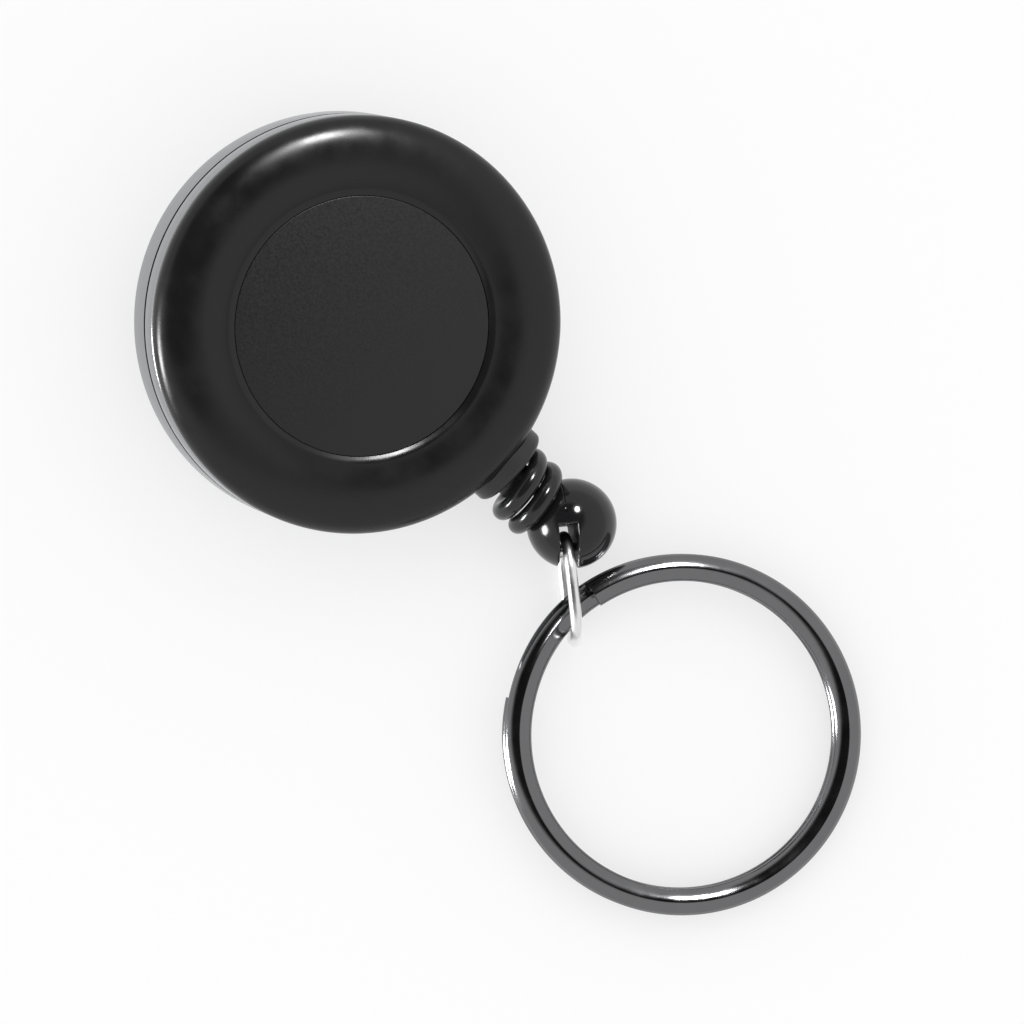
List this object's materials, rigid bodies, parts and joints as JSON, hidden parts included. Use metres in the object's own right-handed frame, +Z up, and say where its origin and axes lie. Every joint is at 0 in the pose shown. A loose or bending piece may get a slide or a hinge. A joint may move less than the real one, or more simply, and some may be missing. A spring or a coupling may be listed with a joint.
{
  "type": "retractable badge reel",
  "caption": "Round retractable badge reel with a glossy domed front, a bright case, a coil bend relief, a slotted ball end, an oval link and a split key ring.",
  "frame": {"origin": "on the table, under the middle of the outline of the whole object as it lies", "axes": "+Z up from the table, +X level along the way the cord leaves the case, +Y to the left of that way; the reel leans 12 degrees on its rim and on the bend of its belt clip"},
  "size_m": [0.071, 0.0366, 0.0149],
  "materials": {
    "gloss_black": "polished moulded ABS",
    "label_grey": "matte blank disc",
    "chrome": "bright chrome plate on pressed steel",
    "brass": "turned brass",
    "nickel": "nickel plate",
    "spring_steel": "rolled spring steel",
    "white_nylon": "natural acetal and nylon",
    "black_cord": "braided nylon",
    "black_wire": "gloss black coated spring wire",
    "collar_black": "semi-gloss moulded nylon",
    "gunmetal": "black nickel plate"
  },
  "bodies": {
    "case": {"front_cover": "gloss_black", "label_disc": "label_grey", "front_bezel": "chrome", "rear_case": "chrome", "arbor": "brass", "centre_rivet": "nickel", "spool_washer": "nickel", "slip_washer": "white_nylon", "cord_run": "black_cord", "exit_collar": "collar_black", "bend_spring": "black_wire", "belt_clip": "nickel", "clip_washer": "nickel"},
    "spool_group": {"spool": "white_nylon", "spool_cap": "white_nylon", "mainspring": "spring_steel", "cord_inner_layers": "black_cord", "cord_outer_layer": "black_cord"},
    "cord_end": {"cord_lead": "black_cord", "cord_stop": "brass"},
    "ball": {"ball_large_half": "gloss_black", "ball_small_half": "gloss_black", "link_pin": "nickel"},
    "link": {"link_ring": "nickel"},
    "key_ring_group": {"key_ring": "gunmetal"}
  },
  "joints": [
    {"name": "spool_spin", "type": "hinge", "parent": "case", "child": "spool_group", "pos_m": [-0.01885, 0.00228, 0.00858], "axis": [0.2086, 0, 0.978], "range_deg": [0, 4645.6], "stiffness_Nm_per_rad": 0.00007, "springref_deg": -5443.1, "deforming": ["mainspring"]},
    {"name": "cord_pull", "type": "slide", "parent": "case", "child": "cord_end", "axis": [0.978, 0, -0.2086], "range_m": [0, 0.9]},
    {"name": "ball_swivel", "type": "hinge", "parent": "cord_end", "child": "ball", "pos_m": [0.00198, 0.00228, 0.00414], "axis": [0.978, 0, -0.2086], "range_deg": [-180, 180]},
    {"name": "link_swing", "type": "hinge", "parent": "ball", "child": "link", "pos_m": [0.00527, 0.00042, 0.00366], "axis": [-0.682, -0.7314, 0], "range_deg": [-22, 35]},
    {"name": "key_ring_flop", "type": "hinge", "parent": "link", "child": "key_ring_group", "pos_m": [0.00861, -0.0027, 0.00215], "axis": [0.1564, 0.9877, 0], "range_deg": [-50, 90]}
  ],
  "couplings": [
    {"joint": "spool_spin", "follows": "cord_pull", "rad_per_m": 90.09}
  ]
}
